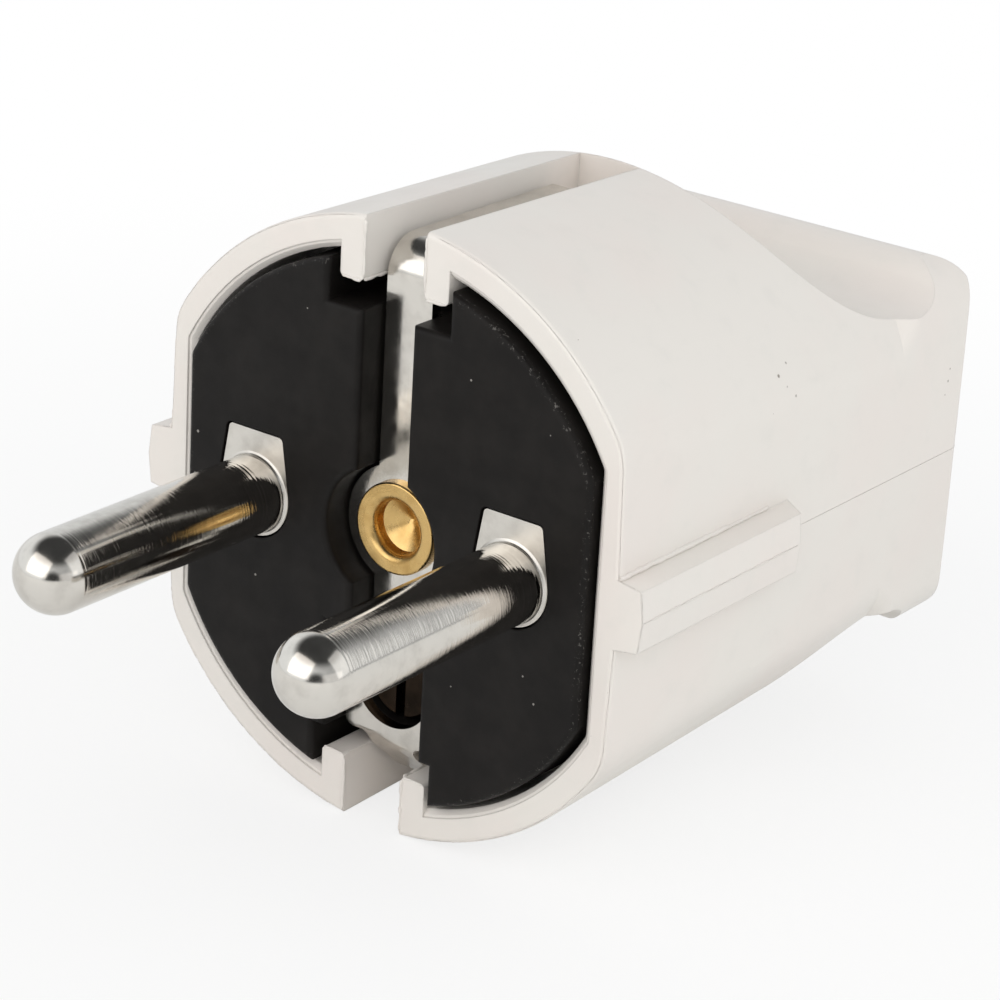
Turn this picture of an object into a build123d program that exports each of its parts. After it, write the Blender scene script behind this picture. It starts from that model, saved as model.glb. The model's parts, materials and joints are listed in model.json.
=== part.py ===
from build123d import *
import os
from math import radians, sqrt, tan

os.makedirs("parts", exist_ok=True)

# Earthed two-pin mains plug, rewireable, in millimetres.
# The engagement face lies in the XZ plane at Y = 0, and the origin is midway between the pins.
# The pins point to -Y, the body runs back to +Y, and the earth contacts lie above and below.

# Contact pins
pin_diameter = 4.8
pin_reach = 19.0
pin_spacing = 19.0
pin_neck = 0.2

# Keystone bar that a pin is turned from, and the terminal block behind it
bar_top = 3.95
bar_top_width = 4.05
bar_radius = 2.64
bar_flat = 0.6
bar_corner = 0.3
bar_sink = 0.1
bar_clearance = 0.12
terminal_length = 7.0
terminal_shoulder = 0.8
terminal_edge = 0.4

# Wire holes and the screws that cross them
wire_hole_radius = 1.5
wire_hole_depth = 6.0
wire_hole_height = 0.6
screw_radius = 1.5
screw_clearance = 0.05
screw_head_radius = 2.4
screw_head_height = 1.6
screw_slot_width = 0.7
screw_slot_depth = 0.8
screw_edge = 0.25
terminal_screw_length = 3.1
terminal_screw_setback = 3.0

# Insert, the moulded contact carrier
insert_radius = 16.5
insert_flat = 1.8
insert_depth = 7.0
insert_corner = 0.6
insert_edge = 0.35
notch_half_width = 4.4
notch_depth = 3.2
channel_clearance = 0.2

# Rear of the insert: tongue, stops, barriers and clamp posts
tongue_gap = 0.3
terminal_floor_gap = 0.85
tongue_setback = 4.7
stop_height = 2.8
stop_thickness = 1.5
stop_gap = 0.1
barrier_gap = 0.8
barrier_thickness = 1.2
barrier_height = 11.3
barrier_length = 9.0
post_spacing = 15.0
post_radius = 2.6
post_height = 5.1
post_setback = 3.5
post_pilot_depth = 5.0

# Earth strap
strap_sink = 2.0
strap_thickness = 0.8
strap_half_width = 1.65
strap_recess = 1.7
strap_end = 17.5
strap_bend = 2.2
strap_ramp_gap = 0.05
strap_ramp_angle = 48.0
strap_ramp_bend = 1.8
strap_pad_radius = 3.8
strap_window_radius = 2.85
strap_window_side = 0.55
strap_shoulder_drop = 0.4
strap_corner = 0.6

# Earth post
post_head_radius = 2.82
post_head_height = 0.5
post_head_round = 0.15
post_shank_radius = 1.95
post_shank_clearance = 0.05
post_bore_radius = 1.65
post_bore_depth = 1.1
post_funnel_round = 0.58
drill_point_angle = 118.0
earth_terminal_radius = 3.5
earth_terminal_length = 8.0
earth_terminal_edge = 0.4

# Fixing screw and its bush
fixing_setback = 3.3
fixing_seat_depth = 4.7
fixing_head_radius = 2.6
fixing_head_height = 1.8
fixing_hole_clearance = 0.2
fixing_screw_length = 11.0
fixing_boss_radius = 3.4
fixing_boss_length = 2.0
bush_radius = 2.3
bush_length = 8.0
bush_clearance = 0.02

# Cord clamp
clamp_thickness = 2.0
clamp_hole_clearance = 0.2
clamp_screw_length = 6.5
clamp_ridge_width = 1.6
clamp_ridge_height = 0.8
clamp_ridge_length = 8.0

# Shell, the moulded hood
rim_depth = 0.5
rim_wall = 2.0
side_wall = 1.85
side_draft = 2.0
hood_draft = 1.2
hood_corner = 4.0
rim_edge = 0.3
shell_length = 38.2
waist_setback = 6.6
waist_half_height = 9.8
scoop_radius = 10.9
flange_half_height = 12.2
flange_lip_radius = 2.0
flange_corner = 3.4
flange_blend = 4.0
flange_blend_drop = 1.8
rear_corner = 1.6
waist_wall = 2.0
rear_wall = 4.0
mouth_clearance = 0.4
mouth_side_clearance = 0.15
mouth_step_width = 0.16
mouth_step_depth = 0.12
mouth_lead_in = 0.3
ledge_width = 1.2
cavity_side_gap = 0.7

# Earth slots and the tabs beside their mouths
slot_half_width = 2.2
slot_run_out = 0.05
slot_floor_gap = 0.3
slot_floor_thickness = 1.2
slot_side_wall = 1.3
tab_width = 1.7
tab_drop = 2.05
tab_round = 0.25

# Guide ribs on the flats
rib_half_height = 2.15
rib_proud = 1.62
rib_ridge = 0.22
rib_slope = 0.3
rib_length = 17.25
rib_end_slope = 1.2
rib_root = 0.6

# Boss for the bush, and the cord inlet
boss_radius = 3.0
boss_length = 13.5
boss_web = 2.0
inlet_radius = 4.5
inlet_round = 1.0

# Sizes that follow from the ones above
pin_radius = pin_diameter / 2
pin_offset = pin_spacing / 2
terminal_end = insert_depth + terminal_length
terminal_half_width = bar_radius + terminal_shoulder
terminal_top = bar_top + terminal_shoulder
terminal_height = terminal_top + bar_radius + terminal_shoulder
insert_half_width = insert_radius - insert_flat
channel_depth = strap_sink + strap_thickness
notch_height = insert_radius - notch_depth
fixing_height = notch_height - fixing_setback
boss_front = insert_depth + fixing_boss_length
strap_lower_half_width = strap_window_radius + strap_window_side
strap_lower_top = fixing_height - strap_lower_half_width
strap_lower_end = notch_height + strap_shoulder_drop
tongue_bottom = boss_radius + tongue_gap - fixing_height
tongue_top = terminal_top - terminal_height - terminal_floor_gap
tongue_half_width = pin_offset + terminal_half_width
tongue_end = shell_length - rear_wall - tongue_setback
barrier_offset = earth_terminal_radius + barrier_gap + barrier_thickness / 2
post_depth = tongue_end - post_setback
post_top = tongue_top + post_height
clamp_top = post_top + clamp_thickness
mouth_radius = insert_radius + mouth_clearance
mouth_half_width = insert_half_width + mouth_side_clearance
shell_radius = mouth_radius + rim_wall
shell_half_width = mouth_half_width + side_wall
strap_reach = shell_radius - strap_recess
slot_floor = strap_reach - strap_thickness - slot_floor_gap
waist_depth = shell_length - waist_setback
scoop_rise = waist_half_height + scoop_radius - shell_radius
scoop_start = waist_depth - sqrt(scoop_radius**2 - scoop_rise**2)
slot_end = scoop_start + slot_run_out


def face_at(depth):
    """Plane parallel to the engagement face, at that depth behind it and facing the front."""
    return Plane.XZ.offset(-depth)


def bar_outline(center_x, clearance):
    """Keystone outline of a pin bar: a round bottom drawn up to a flat top with softened corners."""
    with BuildSketch(face_at(bar_sink)) as outline:
        with Locations((center_x, 0)):
            Circle(bar_radius + clearance)
        with Locations((center_x, bar_top + clearance)):
            Rectangle(bar_top_width + 2 * clearance, bar_flat, align=(Align.CENTER, Align.MAX))
        make_hull()
        fillet(outline.vertices().group_by(Axis.Y)[-1], bar_corner + clearance)
    return outline.sketch


def round_with_flats(depth, radius, half_width, corner):
    """Circle with two flat sides and softened corners, as on the insert and the mouth."""
    with BuildSketch(face_at(depth)) as outline:
        Circle(radius)
        Rectangle(2 * half_width, 2 * radius, mode=Mode.INTERSECT)
        fillet(outline.vertices(), corner)
    return outline.sketch


def drafted_sides(half_height):
    """Corners of a box whose two sides lean inwards, up and down from the parting plane."""
    end_half_width = shell_half_width - half_height * tan(radians(side_draft))
    return (
        (shell_half_width, 0),
        (end_half_width, half_height),
        (-end_half_width, half_height),
        (-shell_half_width, 0),
        (-end_half_width, -half_height),
        (end_half_width, -half_height),
    )


def hood_outline(depth, radius):
    """Section of the hood: a circle cut by the drafted sides, with rounded corners."""
    with BuildSketch(face_at(depth)) as outline:
        Circle(radius)
        Polygon(*drafted_sides(radius), align=None, mode=Mode.INTERSECT)
        fillet(outline.vertices().filter_by(lambda vertex: abs(vertex.Y) > rib_half_height), hood_corner)
    return outline.sketch


def flange_outline(depth, half_height):
    """Section of the rear flange: a box with drafted sides and rounded corners."""
    with BuildSketch(face_at(depth)) as outline:
        Polygon(*drafted_sides(half_height), align=None)
        corners = outline.vertices().group_by(Axis.Y)
        fillet(corners[0] + corners[-1], flange_corner)
    return outline.sketch


# Insert
with BuildPart() as insert:
    extrude(round_with_flats(0, insert_radius, insert_half_width, insert_corner), amount=-insert_depth)
    # Notches that clear the bent ends of the strap
    with BuildSketch(face_at(0)):
        with GridLocations(0, 2 * insert_radius, 1, 2):
            Rectangle(2 * notch_half_width, 2 * notch_depth)
    extrude(amount=-insert_depth, mode=Mode.SUBTRACT)
    # Channel that the strap lies in
    with BuildSketch(face_at(0)):
        Rectangle(2 * (strap_half_width + channel_clearance), 2 * insert_radius)
        Circle(strap_pad_radius + channel_clearance)
        with Locations((0, channel_clearance - strap_lower_top)):
            Rectangle(
                2 * (strap_lower_half_width + channel_clearance),
                insert_radius,
                align=(Align.CENTER, Align.MAX),
            )
    extrude(amount=-channel_depth, mode=Mode.SUBTRACT)
    fillet(insert.faces().filter_by(Axis.Y).group_by(Axis.Y)[0].edges(), insert_edge)
    # Tongue that runs back under the terminals to the cord clamp
    with BuildSketch(face_at(insert_depth)):
        with Locations((0, tongue_bottom)):
            Rectangle(2 * tongue_half_width, tongue_top - tongue_bottom, align=(Align.CENTER, Align.MIN))
    extrude(amount=insert_depth - tongue_end)
    # Stops behind the pin terminals
    with BuildSketch(face_at(terminal_end + stop_gap)):
        with Locations((-pin_offset, tongue_top), (pin_offset, tongue_top)):
            Rectangle(2 * terminal_half_width, stop_height, align=(Align.CENTER, Align.MIN))
    extrude(amount=-stop_thickness)
    # Barriers between the earth terminal and the pin terminals
    with BuildSketch(face_at(insert_depth)):
        with Locations((-barrier_offset, tongue_top), (barrier_offset, tongue_top)):
            Rectangle(barrier_thickness, barrier_height, align=(Align.CENTER, Align.MIN))
    extrude(amount=-barrier_length)
    # Posts for the cord clamp
    with BuildSketch(Plane.XY.offset(tongue_top)):
        with Locations((0, post_depth)):
            with GridLocations(post_spacing, 0, 2, 1):
                Circle(post_radius)
    extrude(amount=post_height)
    with Locations((0, post_depth, post_top)):
        with GridLocations(post_spacing, 0, 2, 1):
            Hole(screw_radius + screw_clearance, post_pilot_depth)
    # Boss and counterbored hole for the fixing screw
    with BuildSketch(face_at(insert_depth)):
        with Locations((0, -fixing_height)):
            Circle(fixing_boss_radius)
    extrude(amount=-fixing_boss_length)
    with Locations(face_at(channel_depth)):
        with Locations((0, -fixing_height)):
            CounterBoreHole(
                screw_radius + fixing_hole_clearance,
                strap_window_radius,
                fixing_seat_depth - channel_depth,
                boss_front - channel_depth,
            )
        Hole(post_shank_radius + post_shank_clearance, insert_depth - channel_depth)
    # Openings for the pin bars
    for center_x in (-pin_offset, pin_offset):
        extrude(bar_outline(center_x, bar_clearance), amount=bar_sink, mode=Mode.SUBTRACT)
        extrude(bar_outline(center_x, bar_clearance), amount=bar_sink - insert_depth, mode=Mode.SUBTRACT)
insert.part.label = "insert"
export_step(insert.part, "parts/insert.step")

# Pins, each with its bar and terminal block
for side, center_x in (("left", -pin_offset), ("right", pin_offset)):
    with BuildPart() as pin:
        extrude(bar_outline(center_x, 0), amount=bar_sink - insert_depth)
        with BuildSketch(Plane.XY):
            with BuildLine():
                tip = (center_x, -pin_reach)
                shoulder = (center_x + pin_radius, pin_radius - pin_reach)
                neck_start = (center_x + pin_radius, bar_sink - pin_neck)
                neck_end = (center_x + pin_radius + pin_neck, bar_sink)
                TangentArc(tip, shoulder, tangent=(1, 0))
                Line(shoulder, neck_start)
                TangentArc(neck_start, neck_end, tangent=(0, 1))
                Polyline(neck_end, (center_x, bar_sink), tip)
            make_face()
        revolve(axis=Axis((center_x, 0, 0), (0, 1, 0)))
        with BuildSketch(face_at(insert_depth)):
            with Locations((center_x, terminal_top - terminal_height / 2)):
                RectangleRounded(2 * terminal_half_width, terminal_height, terminal_edge)
        extrude(amount=-terminal_length)
        with Locations(Plane((center_x, terminal_end, wire_hole_height), z_dir=(0, 1, 0))):
            Hole(wire_hole_radius, wire_hole_depth)
        with Locations((center_x, terminal_end - terminal_screw_setback, terminal_top)):
            Hole(screw_radius + screw_clearance, terminal_top - wire_hole_height)
    pin.part.label = f"{side}_pin"
    export_step(pin.part, f"parts/{side}_pin.step")

# Earth strap: a bent band, trimmed to its outline as seen from the front
with BuildPart() as earth_strap:
    ramp_start = notch_height + strap_ramp_gap + strap_ramp_bend * tan(radians(strap_ramp_angle / 2))
    ramp_end = strap_sink + (strap_reach - ramp_start) * tan(radians(strap_ramp_angle))
    with BuildSketch(Plane.YZ):
        with BuildLine():
            FilletPolyline(
                (strap_end, strap_reach),
                (strap_sink, strap_reach),
                (strap_sink, -ramp_start),
                (ramp_end, -strap_reach),
                (strap_end, -strap_reach),
                radius=[strap_bend, strap_ramp_bend, strap_ramp_bend],
            )
            offset(amount=strap_thickness, side=Side.LEFT)
        make_face()
    extrude(amount=strap_pad_radius, both=True)
    with BuildSketch(face_at(0)) as strap_front:
        Rectangle(2 * strap_half_width, 2 * shell_radius)
        with Locations((0, -strap_lower_top)):
            Rectangle(
                2 * strap_lower_half_width,
                strap_lower_end - strap_lower_top,
                align=(Align.CENTER, Align.MAX),
            )
        pad_corners = strap_front.vertices().filter_by_position(Axis.Y, -strap_lower_end, -strap_lower_top)
        fillet(pad_corners, strap_corner)
        Circle(strap_pad_radius)
        Circle(post_shank_radius + post_shank_clearance, mode=Mode.SUBTRACT)
        with Locations((0, -fixing_height)):
            Circle(strap_window_radius, mode=Mode.SUBTRACT)
    extrude(amount=-strap_end, mode=Mode.INTERSECT)
earth_strap.part.label = "earth_strap"
export_step(earth_strap.part, "parts/earth_strap.step")

# Earth post, turned, with its drilled front end clinched over the strap
with BuildPart() as earth_post:
    head_front = strap_sink - post_head_height
    bore_end = head_front + post_bore_depth
    bore_point = bore_end + post_bore_radius / tan(radians(drill_point_angle / 2))
    earth_terminal_end = insert_depth + earth_terminal_length
    with BuildSketch(Plane.XY) as turned:
        with BuildLine():
            Polyline(
                (post_head_radius, head_front),
                (post_head_radius, strap_sink),
                (post_shank_radius, strap_sink),
                (post_shank_radius, insert_depth),
                (earth_terminal_radius, insert_depth),
                (earth_terminal_radius, earth_terminal_end),
                (0, earth_terminal_end),
                (0, bore_point),
                (post_bore_radius, bore_end),
                (post_bore_radius, head_front),
                close=True,
            )
        make_face()
        chamfer(turned.vertices().group_by(Axis.X)[-1], earth_terminal_edge)
        # The head's rim, and the funnel that the clinching tool leaves in front of the bore
        fillet(turned.vertices().sort_by_distance((post_head_radius, head_front))[0], post_head_round)
        fillet(turned.vertices().sort_by_distance((post_bore_radius, head_front))[0], post_funnel_round)
    revolve(axis=Axis.Y)
    with Locations(Plane((0, earth_terminal_end, 0), z_dir=(0, 1, 0))):
        Hole(wire_hole_radius, wire_hole_depth)
    with Locations((0, earth_terminal_end - terminal_screw_setback, earth_terminal_radius)):
        Hole(screw_radius + screw_clearance, earth_terminal_radius)
earth_post.part.label = "earth_post"
export_step(earth_post.part, "parts/earth_post.step")

# Threaded bush in the shell's boss
with BuildPart() as threaded_bush:
    with BuildSketch(face_at(boss_front)):
        with Locations((0, -fixing_height)):
            Circle(bush_radius)
            Circle(screw_radius + screw_clearance, mode=Mode.SUBTRACT)
    extrude(amount=-bush_length)
threaded_bush.part.label = "threaded_bush"
export_step(threaded_bush.part, "parts/threaded_bush.step")

# Cord clamp, a bar with rounded ends and a ridge that bites the cord
with BuildPart() as cord_clamp:
    with BuildSketch(Plane.XY.offset(post_top)):
        with Locations((0, post_depth)):
            SlotCenterToCenter(post_spacing, 2 * post_radius)
            with GridLocations(post_spacing, 0, 2, 1):
                Circle(screw_radius + clamp_hole_clearance, mode=Mode.SUBTRACT)
    extrude(amount=clamp_thickness)
    with BuildSketch(Plane.XY.offset(post_top)):
        with Locations((0, post_depth)):
            Rectangle(clamp_ridge_length, clamp_ridge_width)
    extrude(amount=-clamp_ridge_height)
cord_clamp.part.label = "cord_clamp"
export_step(cord_clamp.part, "parts/cord_clamp.step")

# Slotted screws: the plane that the head sits on, the shank's length, the head's radius and height
terminal_screw_depth = terminal_end - terminal_screw_setback
earth_screw_depth = earth_terminal_end - terminal_screw_setback
screw_head = (screw_head_radius, screw_head_height)
fixing_head = (fixing_head_radius, fixing_head_height)
left_terminal_seat = Plane((-pin_offset, terminal_screw_depth, terminal_top))
right_terminal_seat = Plane((pin_offset, terminal_screw_depth, terminal_top))
earth_terminal_seat = Plane((0, earth_screw_depth, earth_terminal_radius))
fixing_seat = Plane((0, fixing_seat_depth, -fixing_height), x_dir=(0, 0, 1), z_dir=(0, -1, 0))
left_clamp_seat = Plane((-post_spacing / 2, post_depth, clamp_top))
right_clamp_seat = Plane((post_spacing / 2, post_depth, clamp_top))
screws = {
    "left_terminal_screw": (left_terminal_seat, terminal_screw_length, screw_head),
    "right_terminal_screw": (right_terminal_seat, terminal_screw_length, screw_head),
    "earth_terminal_screw": (earth_terminal_seat, terminal_screw_length, screw_head),
    "fixing_screw": (fixing_seat, fixing_screw_length, fixing_head),
    "left_clamp_screw": (left_clamp_seat, clamp_screw_length, screw_head),
    "right_clamp_screw": (right_clamp_seat, clamp_screw_length, screw_head),
}
for label, (seat, shank_length, (head_radius, head_height)) in screws.items():
    with BuildPart(seat) as screw:
        Cylinder(head_radius, head_height, align=(Align.CENTER, Align.CENTER, Align.MIN))
        Cylinder(screw_radius, shank_length, align=(Align.CENTER, Align.CENTER, Align.MAX))
        ends = screw.faces().filter_by(Axis(seat.origin, seat.z_dir)).sort_by(Axis(seat.origin, seat.z_dir))
        chamfer(ends[0].edges() + ends[-1].edges(), screw_edge)
        with Locations((0, 0, head_height)):
            Box(2 * head_radius, screw_slot_width, 2 * screw_slot_depth, mode=Mode.SUBTRACT)
    screw.part.label = label
    export_step(screw.part, f"parts/{label}.step")

# Hollow of the shell behind the ledge that the insert sits on
with BuildPart() as cavity:
    with BuildSketch(face_at(insert_depth)):
        Circle(mouth_radius - ledge_width)
        Rectangle(2 * (tongue_half_width + cavity_side_gap), 2 * mouth_radius, mode=Mode.INTERSECT)
        # Walls under and beside the earth slots
        with GridLocations(0, 2 * mouth_radius, 1, 2):
            Rectangle(
                2 * (slot_half_width + slot_side_wall),
                2 * (mouth_radius - slot_floor + slot_floor_thickness),
                mode=Mode.SUBTRACT,
            )
    extrude(amount=insert_depth + rear_wall - shell_length)
    with BuildSketch(Plane.YZ):
        with BuildLine():
            hollow_radius = scoop_radius + waist_wall
            hollow_waist = waist_half_height - waist_wall
            hollow_start = waist_depth - sqrt(hollow_radius**2 - scoop_rise**2)
            TangentArc((waist_depth, hollow_waist), (hollow_start, shell_radius), tangent=(-1, 0))
            Polyline(
                (hollow_start, shell_radius),
                (insert_depth, shell_radius),
                (insert_depth, 0),
                (shell_length, 0),
                (shell_length, hollow_waist),
                (waist_depth, hollow_waist),
            )
        make_face()
        mirror(about=Plane.XZ)
    extrude(amount=shell_radius, both=True, mode=Mode.INTERSECT)
    # Left standing in it: the boss for the bush, on a web from the lower slot's floor
    with BuildSketch(face_at(boss_front)):
        with Locations((0, -fixing_height)):
            Circle(boss_radius)
            Rectangle(boss_web, shell_radius - fixing_height, align=(Align.CENTER, Align.MAX))
    extrude(amount=-boss_length, mode=Mode.SUBTRACT)

# Guide ribs of the shell, drafted both ways from the parting plane and sloped at the rear end
with BuildPart() as guide_ribs:
    rib_inside = shell_half_width - rib_root
    rib_face = shell_half_width + rib_proud
    with BuildSketch(face_at(rim_depth)):
        Polygon(
            (rib_inside, rib_half_height),
            (rib_face - rib_ridge, rib_half_height - rib_slope),
            (rib_face, 0),
            (rib_face - rib_ridge, rib_slope - rib_half_height),
            (rib_inside, -rib_half_height),
            align=None,
        )
    extrude(amount=-rib_length)
    with BuildSketch(Plane.XY):
        Polygon(
            (rib_inside, rim_depth),
            (rib_face, rim_depth),
            (rib_face, rim_depth + rib_length - rib_end_slope),
            (rib_inside, rim_depth + rib_length),
            align=None,
        )
    extrude(amount=rib_half_height, both=True, mode=Mode.INTERSECT)
    mirror(about=Plane.YZ)

# Shell
with BuildPart() as shell:
    # Hood that narrows a little to the rear
    rear_radius = shell_radius - (shell_length - rim_depth) * tan(radians(hood_draft))
    loft([hood_outline(rim_depth, shell_radius), hood_outline(shell_length, rear_radius)])
    # Block of the rear flange, which grows out of the flats
    flange_start = flange_outline(waist_depth - flange_blend, waist_half_height - flange_blend_drop)
    flange = flange_outline(waist_depth, flange_half_height)
    loft([flange_start, flange])
    extrude(flange, amount=waist_depth - shell_length)
    # Side profile: scoops at the waist, then a rise to the rounded lip of the flange
    with BuildSketch(Plane.YZ):
        with BuildLine():
            lip_depth = shell_length - flange_lip_radius
            lip_height = flange_half_height - flange_lip_radius
            run = lip_depth - waist_depth
            climb = lip_height - waist_half_height
            rise_radius = (run**2 + climb**2 - flange_lip_radius**2) / (2 * (flange_lip_radius + climb))
            share = rise_radius / (rise_radius + flange_lip_radius)
            meet = (
                waist_depth + share * run,
                waist_half_height + rise_radius + share * (climb - rise_radius),
            )
            waist = (waist_depth, waist_half_height)
            lip_end = (shell_length, lip_height)
            TangentArc(waist, (scoop_start, shell_radius), tangent=(-1, 0))
            rise = TangentArc(waist, meet, tangent=(1, 0))
            TangentArc(meet, lip_end, tangent=rise % 1)
            Polyline(
                lip_end,
                (shell_length, 0),
                (rim_depth, 0),
                (rim_depth, shell_radius),
                (scoop_start, shell_radius),
            )
        make_face()
        mirror(about=Plane.XZ)
    extrude(amount=shell_radius, both=True, mode=Mode.INTERSECT)
    # Rounded rear corners, as seen from above
    with BuildSketch(Plane.XY) as plan:
        with Locations((0, shell_length)):
            Rectangle(2 * shell_half_width, shell_length, align=(Align.CENTER, Align.MAX))
        fillet(plan.vertices().group_by(Axis.Y)[-1], rear_corner)
    extrude(amount=shell_radius, both=True, mode=Mode.INTERSECT)
    fillet(shell.faces().sort_by(Axis.Y)[0].edges(), rim_edge)
    add(guide_ribs.part)
    # Mouth: a fine step in the rim, a sloped lead-in and the socket for the insert
    lead_in_depth = rim_depth + mouth_step_depth
    socket_depth = lead_in_depth + mouth_lead_in
    step_size = mouth_lead_in + mouth_step_width
    extrude(
        round_with_flats(rim_depth, mouth_radius + step_size, mouth_half_width + step_size, insert_corner),
        amount=-mouth_step_depth,
        mode=Mode.SUBTRACT,
    )
    lead_in = [
        round_with_flats(
            lead_in_depth, mouth_radius + mouth_lead_in, mouth_half_width + mouth_lead_in, insert_corner
        ),
        round_with_flats(socket_depth, mouth_radius, mouth_half_width, insert_corner),
    ]
    loft(lead_in, mode=Mode.SUBTRACT)
    extrude(lead_in[-1], amount=socket_depth - insert_depth, mode=Mode.SUBTRACT)
    add(cavity.part, mode=Mode.SUBTRACT)
    # Tabs beside the mouths of the earth slots, which run back to the ledge as the slots' side walls
    tab_span = tab_drop + rim_wall / 2
    tab_center = mouth_radius + rim_wall / 2 - tab_span / 2
    with BuildSketch(face_at(rim_depth)) as tabs:
        with GridLocations(2 * slot_half_width + tab_width, 2 * tab_center, 2, 2):
            Rectangle(tab_width, tab_span)
        fillet(tabs.vertices().filter_by(lambda vertex: abs(vertex.Y) < mouth_radius), tab_round)
    extrude(amount=rim_depth - insert_depth)
    # Earth slots
    with BuildSketch(face_at(rim_depth)):
        with GridLocations(0, 2 * shell_radius, 1, 2):
            Rectangle(2 * slot_half_width, 2 * (shell_radius - slot_floor))
    extrude(amount=rim_depth - slot_end, mode=Mode.SUBTRACT)
    # Hole for the bush
    with Locations(face_at(boss_front)):
        with Locations((0, -fixing_height)):
            Hole(bush_radius + bush_clearance, bush_length)
    # Cord inlet
    with Locations(Plane((0, shell_length, 0), z_dir=(0, 1, 0))):
        Hole(inlet_radius, rear_wall)
    inlet_edges = shell.edges().filter_by(GeomType.CIRCLE).group_by(Axis.Y)[-1]
    fillet(inlet_edges, inlet_round)
shell.part.label = "shell"
export_step(shell.part, "parts/shell.step")
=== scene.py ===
# %% [markdown]
# # An earthed mains plug, dressed in Blender
#
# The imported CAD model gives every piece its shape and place. This lesson adds what CAD leaves out: the
# studio, the finishes, the lathe marks on the metal and the small faults of moulded plastic. Everything is
# in metres, the pins point to -Y, the body runs back to +Y and Z is up.

# %% Load the frame
import json
import math

import bmesh
import bpy
from mathutils import Matrix, Vector
from mathutils.bvhtree import BVHTree

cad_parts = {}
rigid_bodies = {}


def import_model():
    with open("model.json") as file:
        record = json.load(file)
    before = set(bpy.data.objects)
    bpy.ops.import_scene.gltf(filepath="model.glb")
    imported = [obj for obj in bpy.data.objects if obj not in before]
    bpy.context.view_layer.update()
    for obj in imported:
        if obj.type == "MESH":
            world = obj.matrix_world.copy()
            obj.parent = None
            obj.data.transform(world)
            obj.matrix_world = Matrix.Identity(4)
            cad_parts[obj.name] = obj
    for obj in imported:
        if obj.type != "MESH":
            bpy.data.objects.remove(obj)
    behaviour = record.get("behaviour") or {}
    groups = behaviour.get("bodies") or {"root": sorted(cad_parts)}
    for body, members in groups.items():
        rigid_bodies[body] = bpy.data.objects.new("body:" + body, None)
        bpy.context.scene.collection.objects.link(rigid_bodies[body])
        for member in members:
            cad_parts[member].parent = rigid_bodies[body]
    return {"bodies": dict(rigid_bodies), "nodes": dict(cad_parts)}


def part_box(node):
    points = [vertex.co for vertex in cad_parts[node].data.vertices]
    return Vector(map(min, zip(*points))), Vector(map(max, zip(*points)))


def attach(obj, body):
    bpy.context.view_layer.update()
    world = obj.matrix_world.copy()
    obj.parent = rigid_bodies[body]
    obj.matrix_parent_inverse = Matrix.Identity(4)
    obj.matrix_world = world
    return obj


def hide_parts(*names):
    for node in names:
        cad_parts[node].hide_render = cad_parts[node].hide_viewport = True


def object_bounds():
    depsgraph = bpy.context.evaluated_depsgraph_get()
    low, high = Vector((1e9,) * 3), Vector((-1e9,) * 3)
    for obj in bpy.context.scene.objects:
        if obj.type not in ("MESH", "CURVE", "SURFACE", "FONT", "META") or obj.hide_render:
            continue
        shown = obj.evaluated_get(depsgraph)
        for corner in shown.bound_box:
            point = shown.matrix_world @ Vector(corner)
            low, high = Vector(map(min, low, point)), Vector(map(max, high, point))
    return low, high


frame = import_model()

MM = 0.001
framed = set(frame["nodes"].values()) | set(frame["bodies"].values())
for leftover in [thing for thing in bpy.data.objects if thing not in framed]:
    bpy.data.objects.remove(leftover)
bpy.context.view_layer.update()
cad_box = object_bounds()
print("CAD box in mm:", [[round(x / MM, 2) for x in corner] for corner in cad_box])

# %% [markdown]
# ## Camera
#
# The camera stands to the right of the pins and looks down a little. Its angles and distance come from
# matching corners of the plug with their places in the picture. A matrix built from the camera's own right,
# up and backward directions places it in one step, and the small roll comes from turning the first two.

# %% Camera
camera_turn = math.radians(36.15)
camera_rise = math.radians(21.9)
camera_roll = math.radians(3.3)
camera_distance = 197.5 * MM
focal_share = 3.429
sensor_width = 36.0
aim_right = -7.064 * MM
aim_up = -2.12 * MM

backward = Vector(
    (
        math.sin(camera_turn) * math.cos(camera_rise),
        -math.cos(camera_turn) * math.cos(camera_rise),
        math.sin(camera_rise),
    )
)
level_right = Vector((math.cos(camera_turn), math.sin(camera_turn), 0))
level_up = backward.cross(level_right)
right = math.cos(camera_roll) * level_right + math.sin(camera_roll) * level_up
up = math.cos(camera_roll) * level_up - math.sin(camera_roll) * level_right
eye = camera_distance * backward - aim_right * right - aim_up * up

camera = bpy.data.objects.new("camera", bpy.data.cameras.new("camera"))
bpy.context.scene.collection.objects.link(camera)
axes = Matrix((right, up, backward)).transposed().to_4x4()
camera.matrix_world = Matrix.Translation(eye) @ axes
camera.data.sensor_width = sensor_width
camera.data.lens = sensor_width * focal_share
camera.data.clip_start = MM
bpy.context.scene.camera = camera
print("camera at", [round(x / MM, 1) for x in eye], "mm, lens", round(camera.data.lens, 1), "mm")

# %% [markdown]
# ## Node helpers
#
# Shader trees and geometry trees are built from the same parts: add a node, set its options, and feed each
# input with a plain value or with another node's output. Four small helpers keep the cells below short.

# %% Node helpers
def add(tree, kind, inputs=None, **options):
    """Adds a node, sets its options, and feeds its inputs with values or with other nodes' sockets."""
    made = tree.nodes.new(kind)
    for option, value in options.items():
        setattr(made, option, value)
    for key, value in (inputs or {}).items():
        if isinstance(value, bpy.types.NodeSocket):
            tree.links.new(value, made.inputs[key])
        else:
            made.inputs[key].default_value = value
    return made


def calc(tree, operation, *values, clamp=False):
    """One Math node. Returns its output socket."""
    feeds = dict(enumerate(values))
    return add(tree, "ShaderNodeMath", feeds, operation=operation, use_clamp=clamp).outputs[0]


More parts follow.
